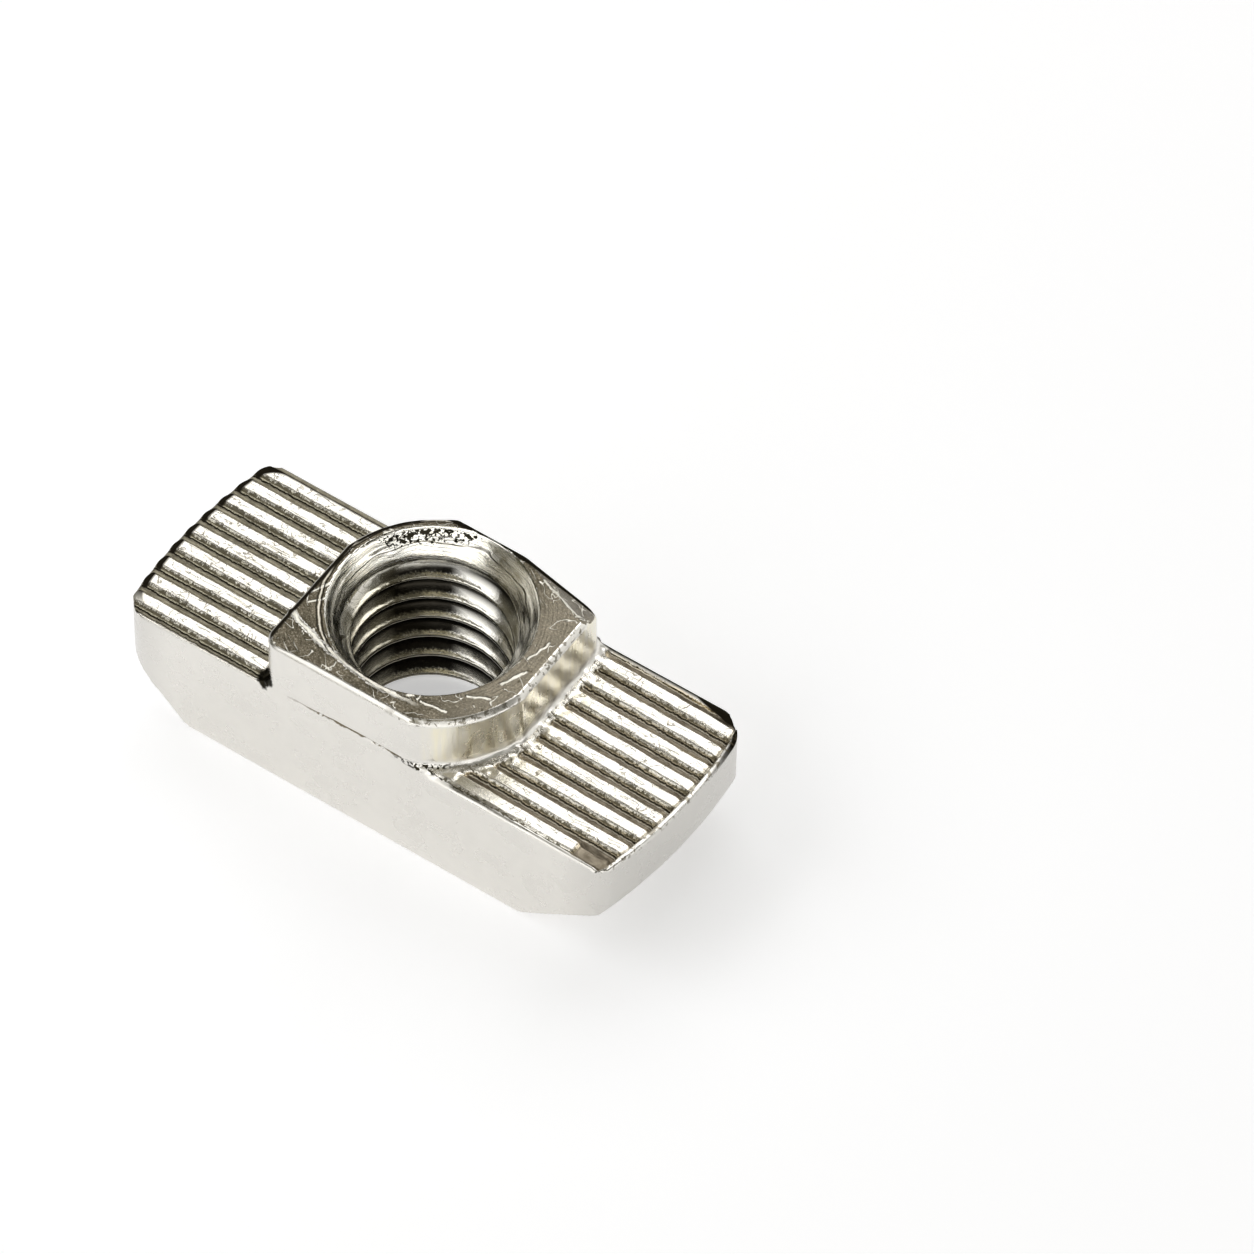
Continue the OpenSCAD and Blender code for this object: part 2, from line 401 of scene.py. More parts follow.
# The ridges' edges wander, and their tops have sunk a little
SETTLING = 0.012
wander = ripple(points, (0.9, 0.5, 0.5)) * 0.022 + ripple(points, (0.22, 0.3, 0.3), 7.0) * 0.014
points[:, 1] += wander * wing_top * fade(inset, 0.05, 0.2)
worn = ripple(points, (1.3, 0.22, 0.4), 3.0) * 0.012 * wing_top * fade(inset, 0.02, 0.12)
points[:, 2] += worn - SETTLING * wing_top

# A crease is raised where the front left corner drops, and rings round the countersink's mouth
CREASE_CENTRE, CREASE_RADIUS = (0.245, 6.99), 10.13
neck_top = fade(z, TOP - 0.5, TOP - 0.3) * fade(np.abs(y), HALF_WIDTH - 0.1, HALF_WIDTH - 0.25)
crease = np.hypot(x - CREASE_CENTRE[0], y - CREASE_CENTRE[1]) - CREASE_RADIUS
crease = bell(crease + ripple(points, (0.9, 0.9, 9), 2.0) * 0.05, 0.075)
points[:, 2] += 0.065 * crease * neck_top * fade(-x, -1.6, -0.4) * fade(-y, 2.0, 2.2)
points[:, 2] += (ripple(points, (0.5, 0.5, 9), 4.0) * 0.012 - 0.03) * neck_top
ring = np.sin((from_bore + 0.03 * ripple(points, (1.5, 1.5, 9), 6.0)) * 2 * math.pi / 0.17)
ring = 0.006 * ring * fade(z, TOP - 0.9, TOP - 0.6) * fade(from_bore, 3.95, 3.6)
points[:, 2] += ring * fade(-x, 0.6, 2.0)

# The neck's wall and the flanks are beaten soft, and the sides are nearly flat
on_wall = fade(z, SHOULDER + 0.05, SHOULDER + 0.3) * fade(TOP - 0.15 - z, 0, 0.15)
on_wall *= fade(outside_neck, -0.3, -0.1)
swell = ripple(points, (0.55, 0.55, 0.9), 5.0) * 0.022 * on_wall
on_turn = x * y < 0
away = np.where(on_turn[:, None], np.stack([x, y], 1) / np.maximum(reach, 1)[:, None], 0)
away[~on_turn, 0] = np.sign(x[~on_turn])
points[:, :2] += (swell - 0.02 * on_wall)[:, None] * away

# The seam on the front, where the neck's face meets the head's
seam = z - SHOULDER - 0.07 - 0.06 * np.sin(x * 0.9 + 1.2)
seam = bell(seam + ripple(points, (0.5, 9, 9), 8.0) * 0.04, 0.04)
seam = seam * fade(-y, 3.6, 3.72) * fade(x, -3.3, -2.0) * fade(x, 1.5, 0.9)
points[:, 1] += 0.07 * seam

# The pocket that the burr leaves at the neck's front left foot
near = np.exp(-(((x + 4.0) / 0.22) ** 2 + ((y + 3.62) / 0.2) ** 2 + ((z - 4.85) / 0.3) ** 2))
points[:, 0] += ripple(points, (0.12, 0.2, 0.12), 9.0) * 0.16 * near
points[:, 1] += (np.abs(ripple(points, (0.14, 0.2, 0.14), 11.0)) * 0.5 + 0.1) * near

points[:, 2] = np.clip(points[:, 2], 0, TOP)
nut.data.vertices.foreach_set("co", (points * MM).ravel())
nut.data.update()
MOST_TRIANGLES = 190000
triangles = 2 * len(nut.data.polygons)
finish_modifier(nut, "DECIMATE", ratio=min(1, MOST_TRIANGLES / triangles))
only(nut)
bpy.ops.object.shade_smooth()

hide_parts("t_slot_nut")
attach(nut, "root")

# The plating has four surfaces: satin on the sides, streaky on the pressed ridges, dark and coarse
# on the neck's top, and bright in the turned and tapped bore. Each starts from a plain colour.
NICKEL = (0.80, 0.77, 0.715)
DARK_NICKEL = (0.2, 0.18, 0.14)
BORE_NICKEL = (0.66, 0.635, 0.57)
# Blacks: painted dark reflection on the far rims; painted shade in the burr's pocket, also the torn
# countersink's own black; the torn burr's own black, also painted shade along the front edge
RIM_REFLECTION_BLACK = (0.018, 0.015, 0.010)
POCKET_BLACK = (0.02, 0.018, 0.012)
BURR_AND_SHADE_BLACK = (0.03, 0.025, 0.015)


def node(tree, kind, inputs=None, **settings):
    """Adds a node. Each input is a value, or a socket to link."""
    new = tree.nodes.new("ShaderNode" + kind)
    for key, value in settings.items():
        setattr(new, key, value)
    for key, source in (inputs or {}).items():
        if isinstance(source, bpy.types.NodeSocket):
            tree.links.new(source, new.inputs[key])
        else:
            new.inputs[key].default_value = source
    return new


def calc(tree, operation, *values):
    return node(tree, "Math", dict(enumerate(values)), operation=operation).outputs[0]


def vector_calc(tree, operation, *values):
    """The same for vectors. A distance and a dot product come out as numbers."""
    step = node(tree, "VectorMath", dict(enumerate(values)), operation=operation)
    return step.outputs["Value" if operation in ("DISTANCE", "DOT_PRODUCT") else "Vector"]


def split(tree, place):
    return node(tree, "SeparateXYZ", {0: place}).outputs


def from_axis(tree, place, centre):
    """The distance from an upright axis."""
    flat = vector_calc(tree, "MULTIPLY", place, (1, 1, 0))
    return vector_calc(tree, "DISTANCE", flat, (*centre, 0))


def spread(tree, value, low, high, to_low=0.0, to_high=1.0):
    """Maps a value from one range to another, and holds it there."""
    step = node(tree, "MapRange", {0: value, 1: low, 2: high, 3: to_low, 4: to_high})
    return step.outputs[0]


def choose(tree, mask, without, within):
    """One number outside a mask and another inside it."""
    return spread(tree, mask, 0.0, 1.0, without, within)


def swing(tree, value, size):
    """Noise as a swing to both sides of zero."""
    return spread(tree, value, 0.3, 0.7, -size, size)


def where(tree, *conditions):
    """A mask where every condition holds: each is a mask, or what spread takes."""
    masks = [spread(tree, *c) if isinstance(c, tuple) else c for c in conditions]
    held = masks[0]
    for mask in masks[1:]:
        held = calc(tree, "MULTIPLY", held, mask)
    return held


def either(tree, first, second):
    return calc(tree, "MAXIMUM", first, second)


def thin_line(tree, value, inner, outer):
    """A line where the value passes zero: full up to the inner distance, gone at the outer one."""
    return spread(tree, calc(tree, "ABSOLUTE", value), inner, outer, 1.0, 0.0)


def uneven(tree, place, scale, detail=2.0, **more):
    """Noise from 0 to 1. The scale is one number, or one for each axis where it is drawn out."""
    if isinstance(scale, tuple):
        place, scale = vector_calc(tree, "MULTIPLY", place, scale), 1.0
    inputs = {"Vector": place, "Scale": scale, "Detail": detail, **more}
    return node(tree, "TexNoise", inputs).outputs


def blend(tree, mask, first, second):
    """From the first colour to the second. Each is red, green and blue, or a socket."""
    first, second = ((*c, 1) if isinstance(c, tuple) else c for c in (first, second))
    return node(tree, "Mix", {0: mask, 6: first, 7: second}, data_type="RGBA").outputs[2]


def paint(tree, colour, mask, ink, share=1.0):
    """Lays an ink over the colour, at most to the given share."""
    if share < 1:
        mask = calc(tree, "MULTIPLY", mask, share)
    return blend(tree, mask, colour, ink)


def effect(name, outputs, extra=()):
    """A shared effect: it reads millimetres on the piece and gives masks from 0 to 1."""
    tree = bpy.data.node_groups.new(name, "ShaderNodeTree")
    tree.interface.new_socket("Place", in_out="INPUT", socket_type="NodeSocketVector")
    for label, value in extra:
        socket = tree.interface.new_socket(label, in_out="INPUT", socket_type="NodeSocketFloat")
        socket.default_value = value
    for label in outputs:
        tree.interface.new_socket(label, in_out="OUTPUT", socket_type="NodeSocketFloat")
    given, gives = tree.nodes.new("NodeGroupInput"), tree.nodes.new("NodeGroupOutput")
    return tree, given.outputs, gives.inputs


# Scratches: long thin lines that run roughly along X of the place given
scratches, given, gives = effect("scratches", ["Mask"], [("Amount", 0.5)])
bent = uneven(scratches, given["Place"], 0.5, 1.0)["Color"]
drawn = vector_calc(scratches, "MULTIPLY", given["Place"], (0.45, 14, 14))
drawn = vector_calc(scratches, "MULTIPLY_ADD", bent, (0, 9, 9), drawn)
lines = uneven(scratches, drawn, 1.0, 3.0)[0]
edge = spread(scratches, given["Amount"], 0.0, 1.0, 0.80, 0.48)
over = calc(scratches, "SUBTRACT", lines, edge)
scratches.links.new(spread(scratches, over, 0.0, 0.03), gives["Mask"])

# Flecks: short curled lips of plate, each a thin broken line
flecks, given, gives = effect("flecks", ["Mask"], [("Amount", 0.5)])
curls = uneven(flecks, given["Place"], 1.9, Distortion=0.6)[0]
patches = uneven(flecks, given["Place"], 2.3, 1.0, Lacunarity=3.0)[0]
edge = spread(flecks, given["Amount"], 0.0, 1.0, 0.64, 0.36)
line = thin_line(flecks, calc(flecks, "SUBTRACT", curls, 0.53), 0.006, 0.014)
line = where(flecks, line, (calc(flecks, "SUBTRACT", patches, edge), 0.0, 0.03))
flecks.links.new(line, gives["Mask"])

# Grain: the fine tooth of the plate, with sparse pits
grain, given, gives = effect("grain", ["Height", "Pits"], [("Pit share", 0.1)])
fine = uneven(grain, given["Place"], 14.0, 3.0, Roughness=0.65)[0]
spots = uneven(grain, given["Place"], 6.5, Roughness=0.55, Distortion=0.8)[0]
edge = spread(grain, given["Pit share"], 0.0, 1.0, 0.80, 0.42)
pits = spread(grain, calc(grain, "SUBTRACT", spots, edge), 0.0, 0.04)
grain.links.new(fine, gives["Height"])
grain.links.new(pits, gives["Pits"])

# Mottling: broad clouds of cleaner and duller plate
mottle, given, gives = effect("mottle", ["Cloud"], [("Size", 1.0)])
finer = calc(mottle, "DIVIDE", 1.3, given["Size"])
clouds = uneven(mottle, given["Place"], finer, 4.0, Roughness=0.6, Distortion=0.4)[0]
mottle.links.new(spread(mottle, clouds, 0.36, 0.64), gives["Cloud"])

# Turning marks: rings round the bore that wander and fade
turning, given, gives = effect("turning_marks", ["Height"])
sway = uneven(turning, given["Place"], 0.9, 1.0)[0]
radius = from_axis(turning, given["Place"], BORE)
step = calc(turning, "SUBTRACT", radius, split(turning, given["Place"])[2])
step = calc(turning, "ADD", step, calc(turning, "MULTIPLY", sway, 0.2))
step = calc(turning, "MULTIPLY", step, 11.0)
rings = node(turning, "TexNoise", {"W": step, "Scale": 1.0}, noise_dimensions="1D")
turning.links.new(rings.outputs[0], gives["Height"])

# Painted dark reflection: the far rims of the head and the neck, and the rim of the left end, are
# painted black where the plating would mirror dark surroundings. The head's is a band along the
# ends and the back, with its corners rounded.
dark_rim_reflection, given, gives = effect("dark_rim_reflection", ["Rim"])
at_x, at_y, at_z = split(dark_rim_reflection, given["Place"])
on_right = calc(dark_rim_reflection, "GREATER_THAN", at_x, 0.0)
corner = choose(dark_rim_reflection, on_right, 0.95, 1.3)
right_bow, left_bow = (from_axis(dark_rim_reflection, given["Place"], centre) for centre in BOW_CENTRES)
bow = node(dark_rim_reflection, "Mix", {0: on_right, 2: left_bow, 3: right_bow}).outputs[0]
squares = []
for distance, limit in [(bow, BOW_RADIUS), (calc(dark_rim_reflection, "ABSOLUTE", at_y), HALF_WIDTH)]:
    past = calc(dark_rim_reflection, "SUBTRACT", calc(dark_rim_reflection, "ADD", corner, distance), limit)
    past = either(dark_rim_reflection, past, 0.0)
    squares.append(calc(dark_rim_reflection, "MULTIPLY", past, past))
past = calc(dark_rim_reflection, "SQRT", calc(dark_rim_reflection, "ADD", *squares))
rim_inset = calc(dark_rim_reflection, "SUBTRACT", corner, past)
rim_inset = calc(dark_rim_reflection, "SUBTRACT", rim_inset, choose(dark_rim_reflection, on_right, 0.10, -0.09))
left_or_back = either(dark_rim_reflection, spread(dark_rim_reflection, at_y, 1.2, 2.6), spread(dark_rim_reflection, at_x, 0.0, -0.1))
on_head = where(
    dark_rim_reflection,
    (rim_inset, 0.26, 0.18),
    left_or_back,
    (at_y, -3.45, -2.9),
    (at_z, SHOULDER + 0.2, SHOULDER),
    (at_z, SHOULDER - 0.17, SHOULDER - 0.12),
)
drop = vector_calc(dark_rim_reflection, "DOT_PRODUCT", given["Place"], BACK_DROP[1])
drop = calc(dark_rim_reflection, "SUBTRACT", drop, BACK_DROP[0].dot(BACK_DROP[1]))
top_edge = either(
    dark_rim_reflection, spread(dark_rim_reflection, at_z, TOP - 0.18, TOP - 0.12), spread(dark_rim_reflection, drop, -0.16, -0.10)
)
turned_edge = where(
    dark_rim_reflection,
    (from_axis(dark_rim_reflection, given["Place"], (0, 0)), 3.82, 3.88),
    (at_x, -2.4, -2.6),
    (at_y, 0.9, 1.2),
)
left_edge = spread(dark_rim_reflection, at_x, 0.27 - HALF_NECK, 0.21 - HALF_NECK)
back_edge = spread(dark_rim_reflection, at_y, HALF_WIDTH - 0.32, HALF_WIDTH - 0.26)
far_edge = either(dark_rim_reflection, back_edge, either(dark_rim_reflection, turned_edge, left_edge))
on_neck = calc(dark_rim_reflection, "MULTIPLY", far_edge, top_edge)
dark_rim_reflection.links.new(either(dark_rim_reflection, on_neck, on_head), gives["Rim"])

# Pocket: the burr's hollow at the neck's front left foot, which is painted black as shade
pocket, given, gives = effect("pocket", ["Mask"], [("Sway", 0.5)])
gap = vector_calc(pocket, "DISTANCE", given["Place"], (-4.0, -3.55, 4.78))
gap = calc(pocket, "ADD", gap, calc(pocket, "MULTIPLY", given["Sway"], 0.5))
pocket.links.new(spread(pocket, gap, 0.68, 0.60), gives["Mask"])


def finish(name, colour):
    """A plated surface: its material, its shader, and its place in millimetres."""
    plate = bpy.data.materials.new(name)
    plate.use_nodes = True
    tree = plate.node_tree
    shader = tree.nodes["Principled BSDF"]
    shader.inputs["Base Color"].default_value = (*colour, 1)
    shader.inputs["Metallic"].default_value = 1
    where_on_piece = node(tree, "TexCoord").outputs["Object"]
    return plate, tree, shader, vector_calc(tree, "MULTIPLY", where_on_piece, (1 / MM,) * 3)


def shared(tree, group, place, **values):
    """Places a shared effect, with an input for each of the values."""
    inputs = {"Place": place, **{key.replace("_", " "): value for key, value in values.items()}}
    return node(tree, "Group", inputs, node_tree=group).outputs


def painted_rim_reflection(tree, shader, place):
    """The far rims are painted black as dark reflection, dull, and no longer shine as metal."""
    rim = shared(tree, dark_rim_reflection, place)["Rim"]
    shader.inputs["Specular IOR Level"].default_value = 0
    tree.links.new(choose(tree, rim, 1.0, 0.0), shader.inputs["Metallic"])
    return rim


def stroke(tree, place, start, end, width):
    """One scratch: a thin straight line between two points seen from above."""
    run = Vector((end[0] - start[0], end[1] - start[1], 0))
    offset = vector_calc(tree, "SUBTRACT", place, (*start, 0))
    offset = vector_calc(tree, "MULTIPLY", offset, (1, 1, 0))
    along = vector_calc(tree, "DOT_PRODUCT", offset, run / run.length_squared)
    along = spread(tree, along, 0.0, 1.0)
    nearest = node(tree, "VectorMath", {0: run, 3: along}, operation="SCALE").outputs[0]
    gap = vector_calc(tree, "DISTANCE", offset, nearest)
    return spread(tree, gap, width * 0.5, width, 1.0, 0.0)


def dress(tree, shader, colour, roughness, height, millimetres, strength):
    """Gives the shader its colour and roughness, and its relief as a bump."""
    inputs = {"Height": height, "Distance": millimetres * MM, "Strength": strength}
    tree.links.new(colour, shader.inputs["Base Color"])
    tree.links.new(roughness, shader.inputs["Roughness"])
    tree.links.new(node(tree, "Bump", inputs).outputs[0], shader.inputs["Normal"])


# The sides, the ends, the slope and the base: satin, with painted shade darkening it towards the
# ends
side, tree, shader, place = finish("nickel_sides", NICKEL)
at_x, at_y, at_z = split(tree, place)
cloud = shared(tree, mottle, place, Size=1.6)["Cloud"]
tooth = shared(tree, grain, place, Pit_share=0.16)
colour = blend(tree, cloud, (0.755, 0.735, 0.690), (0.795, 0.775, 0.728))
colour = paint(tree, colour, tooth["Pits"], (0.42, 0.39, 0.33), 0.4)

# The seam is a dark broken line in the front face
wave = calc(tree, "SINE", calc(tree, "ADD", calc(tree, "MULTIPLY", at_x, 0.9), 1.2))
wave = calc(tree, "ADD", SHOULDER - 0.03, calc(tree, "MULTIPLY", wave, 0.06))
sway = uneven(tree, place, 3.0)[0]
line = calc(tree, "SUBTRACT", calc(tree, "SUBTRACT", at_z, wave), calc(tree, "MULTIPLY", sway, 0.2))
seam = where(
    tree,
    thin_line(tree, line, 0.035, 0.055),
    (at_y, -3.6, -3.65),
    (at_x, -3.2, -1.8),
    (at_x, 1.5, 1.2),
    (sway, 0.34, 0.38),
)
colour = paint(tree, colour, seam, (0.16, 0.13, 0.08), 0.95)
# Painted shade: darker towards the tips of the bowed ends
ends = spread(tree, calc(tree, "ABSOLUTE", at_x), 7.4, 9.3)
colour = paint(tree, colour, ends, (0.50, 0.49, 0.465), 0.55)
# The far rims are painted black as dark reflection
rim = painted_rim_reflection(tree, shader, place)
colour = paint(tree, colour, rim, RIM_REFLECTION_BLACK)

# Nicks in the rims of the neck and of the right end
nicks = uneven(tree, place, 5.0, 3.0, Distortion=0.5)[0]
neck_rim = where(tree, (at_z, TOP - 0.27, TOP - 0.18), (at_x, 0.6, 1.4))
end_rim = where(
    tree,
    (from_axis(tree, place, BOW_CENTRES[0]), BOW_RADIUS - 0.3, BOW_RADIUS - 0.2),
    (at_z, 4.5, 4.6),
    calc(tree, "GREATER_THAN", at_x, 4.0),
)
nicks = where(tree, (nicks, 0.54, 0.58), either(tree, neck_rim, end_rim))
colour = paint(tree, colour, nicks, (0.13, 0.11, 0.07), 0.75)

# The film drawn down the neck's right wall, and the burr torn along the turned wall's foot
drawn = uneven(tree, place, (4.5, 4.5, 0.5), 3.0, Roughness=0.6)[0]
on_wall = where(tree, (at_z, 4.9, 5.1), (at_x, 1.9, 2.3), (at_z, TOP - 0.2, TOP - 0.32))
film = where(tree, on_wall, (drawn, 0.38, 0.64, 0.25, 0.8))
colour = paint(tree, colour, film, (0.90, 0.85, 0.67))
torn = where(
    tree,
    (uneven(tree, place, (6, 6, 9), 3.0, Distortion=0.6)[0], 0.50, 0.53),
    (at_z, 4.60, 4.66),
    (at_z, 4.92, 4.84),
    (at_x, 0.9, 1.3),
    (at_x, 3.1, 2.6),
    (at_y, -2.5, -2.8),
)
colour = paint(tree, colour, torn, BURR_AND_SHADE_BLACK)
# Painted shade: black in the burr's pocket
colour = paint(tree, colour, shared(tree, pocket, place, Sway=sway)["Mask"], POCKET_BLACK)
rough = either(tree, choose(tree, cloud, 0.24, 0.34), rim)
height = calc(tree, "MULTIPLY", calc(tree, "MULTIPLY", drawn, on_wall), 9.0)
height = calc(tree, "ADD", tooth["Height"], height)
dress(tree, shader, colour, rough, height, 0.004, 0.5)

# The pressed ridges: streaked lands with ragged front edges, olive walls and brown floors.
# The phase runs from 0 to 1 across each ridge and its groove.
ridge, tree, shader, place = finish("nickel_ridges", NICKEL)
at_x, at_y, at_z = split(tree, place)
on_right = calc(tree, "GREATER_THAN", at_x, 0.0)
far_depth = FIELD_DEPTH + FIELD_SLOPE * FIELD_LENGTH
sunk = spread(tree, at_x, FIELD_START, FIELD_START + FIELD_LENGTH, FIELD_DEPTH, far_depth)
sunk = calc(tree, "MULTIPLY", sunk, on_right)
depth = calc(tree, "SUBTRACT", SHOULDER - SETTLING, calc(tree, "ADD", at_z, sunk))
shifted = calc(tree, "ADD", at_y, calc(tree, "MULTIPLY", on_right, -GROOVE_SHIFTS[1]))
phase = calc(tree, "FRACT", calc(tree, "ADD", calc(tree, "DIVIDE", shifted, PITCH), 0.5))
ticks = uneven(tree, place, (5.5, 1.6, 1.6), 4.0, Roughness=0.75)[0]
reach_in = spread(tree, ticks, 0.42, 0.70, 0.20, 0.43)
reach_in = calc(tree, "ADD", reach_in, choose(tree, on_right, 0.04, 0.0))
ragged = spread(tree, calc(tree, "SUBTRACT", reach_in, phase), 0.0, 0.02)
ragged = calc(tree, "MULTIPLY", ragged, calc(tree, "GREATER_THAN", phase, 0.21))
tooth = shared(tree, grain, place, Pit_share=0.34)
streaks = shared(tree, scratches, place, Amount=0.55)["Mask"]
lips = shared(tree, flecks, place, Amount=0.45)["Mask"]
cloud = shared(tree, mottle, place, Size=0.5)["Cloud"]
colour = blend(tree, cloud, (0.74, 0.71, 0.63), (0.88, 0.85, 0.79))
colour = paint(tree, colour, streaks, (0.40, 0.36, 0.27), 0.45)
colour = paint(tree, colour, lips, (0.22, 0.19, 0.13), 0.6)

# Painted light and shade: the grooves' walls are a shaded olive where they slope and painted light
# where they are steep
wall_light_and_shade = blend(tree, on_right, (0.36, 0.335, 0.25), (0.32, 0.275, 0.19))
steep = calc(tree, "GREATER_THAN", phase, 0.6)
wall_light_and_shade = paint(tree, wall_light_and_shade, steep, (0.82, 0.72, 0.54))
steep = calc(tree, "MULTIPLY", steep, choose(tree, on_right, 0.07, 0.01))
walled = spread(tree, calc(tree, "SUBTRACT", depth, steep), 0.02, 0.07)
colour = blend(tree, walled, colour, wall_light_and_shade)
# Painted shade: a dark band along each land's ragged front edge, where it rolls down into the
# groove
colour = paint(tree, colour, ragged, (0.11, 0.095, 0.06), 0.9)
colour = paint(tree, colour, tooth["Pits"], (0.12, 0.10, 0.065), 0.75)

# Their floors are dark brown, and a painted black line of shade with a painted highlight as its
# light lip follows each steep wall
floor_mask = where(tree, (depth, 0.115, 0.145), (at_y, -3.65, -3.61))
right_floor_brown = blend(tree, cloud, (0.14, 0.117, 0.085), (0.27, 0.235, 0.18))
left_floor_brown = blend(tree, cloud, (0.20, 0.18, 0.13), (0.36, 0.33, 0.25))
colour = blend(tree, floor_mask, colour, blend(tree, on_right, left_floor_brown, right_floor_brown))
wavy = calc(tree, "ADD", phase, swing(tree, ticks, 0.03))
wavy = calc(tree, "ADD", wavy, choose(tree, on_right, 0.02, 0.0))
wavy = calc(tree, "FRACT", calc(tree, "ADD", wavy, 0.5))
for middle, width, ink, left_share in [
    (0.665, 0.034, (0.015, 0.012, 0.008), 1.0),
    (0.605, 0.012, (0.75, 0.72, 0.62), 0.25),
]:
    line = thin_line(tree, calc(tree, "SUBTRACT", wavy, middle), width * 0.6, width)
    line = where(tree, line, (depth, 0.05, 0.08), choose(tree, on_right, left_share, 1.0))
    colour = paint(tree, colour, line, ink)

# The front edge has a painted dark line of shade above a painted highlight on its light lip
edge = calc(tree, "ADD", at_y, swing(tree, ticks, 0.02))
colour = paint(tree, colour, spread(tree, edge, -3.55, -3.58), BURR_AND_SHADE_BLACK)
colour = paint(tree, colour, spread(tree, edge, -3.60, -3.63), (0.90, 0.87, 0.81))
# The far rims are painted black as dark reflection
rim = painted_rim_reflection(tree, shader, place)
colour = paint(tree, colour, rim, RIM_REFLECTION_BLACK)
# Painted shade: black in the burr's pocket
colour = paint(tree, colour, shared(tree, pocket, place, Sway=ticks)["Mask"], POCKET_BLACK)
rough = either(tree, choose(tree, either(tree, floor_mask, ragged), 0.24, 0.45), rim)
marks = calc(tree, "ADD", calc(tree, "ADD", ragged, streaks), lips)
height = calc(tree, "SUBTRACT", tooth["Height"], calc(tree, "MULTIPLY", marks, 0.8))
dress(tree, shader, colour, rough, height, 0.014, 0.8)

# The neck's top: dark, coarse plate with light scratches
crown, tree, shader, place = finish("nickel_neck_top", DARK_NICKEL)
at_x, at_y, _ = split(tree, place)
tooth = shared(tree, grain, place, Pit_share=0.42)
cloud = shared(tree, mottle, place, Size=0.8)["Cloud"]
turned = node(tree, "Mapping", {"Vector": place, "Rotation": (0, 0, math.radians(34))}).outputs[0]
marks = shared(tree, scratches, turned, Amount=0.45)["Mask"]
large = vector_calc(tree, "MULTIPLY", place, (0.62, 0.62, 0.62))
lips = shared(tree, flecks, large, Amount=0.66)["Mask"]
marks = either(tree, calc(tree, "MULTIPLY", marks, 0.6), lips)
sway = uneven(tree, place, 1.6, 3.0)[0]
off = calc(tree, "SUBTRACT", from_axis(tree, place, CREASE_CENTRE), CREASE_RADIUS)
off = calc(tree, "ADD", off, swing(tree, sway, 0.06))
crease = where(tree, thin_line(tree, off, 0.05, 0.10), (at_x, 1.6, 0.6), (at_y, -2.0, -2.2))
# The raised crease is painted light along its line, as a painted highlight
marks = either(tree, marks, crease)

# Single scratches, a little crooked: (start, end, width)
loose = uneven(tree, place, 2.6, 3.0)["Color"]
loose = vector_calc(tree, "MULTIPLY_ADD", loose, (0.2, 0.2, 0), place)
loose = vector_calc(tree, "SUBTRACT", loose, (0.1, 0.1, 0))
for start, end, width in [
    ((1.48, -2.9), (2.39, -2.79), 0.06),
    ((3.3, 0.36), (3.5, 1.26), 0.05),
    ((1.97, 3.22), (3.56, 2.64), 0.06),
    ((3.15, -0.9), (3.55, -0.1), 0.07),
    ((2.55, -1.9), (3.2, -1.6), 0.06),
    ((-3.75, -1.3), (-3.45, -0.6), 0.05),
    ((-3.6, -1.7), (-3.2, -1.2), 0.05),
]:
    marks = either(tree, marks, stroke(tree, loose, start, end, width))
colour = blend(tree, cloud, (0.085, 0.073, 0.05), (0.36, 0.315, 0.235))
speckle = spread(tree, tooth["Height"], 0.40, 0.62, 0.15, 0.75)
colour = blend(tree, speckle, (0.07, 0.06, 0.04), colour)
colour = paint(tree, colour, spread(tree, at_x, 1.5, 3.0), (0.50, 0.45, 0.36), 0.25)
colour = paint(tree, colour, spread(tree, tooth["Height"], 0.57, 0.66), (0.50, 0.46, 0.37), 0.4)
colour = paint(tree, colour, tooth["Pits"], (0.06, 0.05, 0.03), 0.6)
colour = paint(tree, colour, marks, (0.90, 0.87, 0.78), 0.92)

# Arcs that the countersink's bit left round the mouth, on the left: (radius, ink)
off = calc(tree, "ADD", from_axis(tree, place, BORE), swing(tree, sway, 0.03))
on_left = spread(tree, at_x, -1.4, -2.2)
for arc, ink in [
    (3.62, (0.04, 0.035, 0.025)),
    (3.55, (0.70, 0.66, 0.57)),
    (3.48, (0.03, 0.025, 0.018)),
]:
    line = thin_line(tree, calc(tree, "SUBTRACT", off, arc), 0.015, 0.032)
    colour = paint(tree, colour, calc(tree, "MULTIPLY", line, on_left), ink)
# The far rims are painted black as dark reflection
rim = painted_rim_reflection(tree, shader, place)
colour = paint(tree, colour, rim, RIM_REFLECTION_BLACK)
rough = either(tree, choose(tree, cloud, 0.38, 0.5), rim)
rings = shared(tree, turning, place)["Height"]
height = calc(tree, "ADD", tooth["Height"], calc(tree, "MULTIPLY", marks, 1.5))
height = calc(tree, "ADD", height, calc(tree, "MULTIPLY", rings, 0.8))
dress(tree, shader, colour, rough, height, 0.02, 1.0)

# The bore: the countersink's rings and the thread
bore, tree, shader, place = finish("nickel_bore", BORE_NICKEL)
at_x, _, at_z = split(tree, place)
rings = shared(tree, turning, place)["Height"]
tooth = shared(tree, grain, place, Pit_share=0.2)
cloud = shared(tree, mottle, place, Size=0.6)["Cloud"]
off = from_axis(tree, place, BORE)
in_thread = spread(tree, at_z, TOP - 1.2, TOP - 1.5)
colour = blend(tree, cloud, (0.86, 0.84, 0.77), (0.97, 0.955, 0.90))
line = where(
    tree,
    thin_line(tree, calc(tree, "SUBTRACT", rings, 0.5), 0.008, 0.024),
    (cloud, 0.1, 0.7, 0.35, 1.0),
    choose(tree, in_thread, 1.0, 0.0),
)
colour = paint(tree, colour, line, (0.10, 0.085, 0.05))
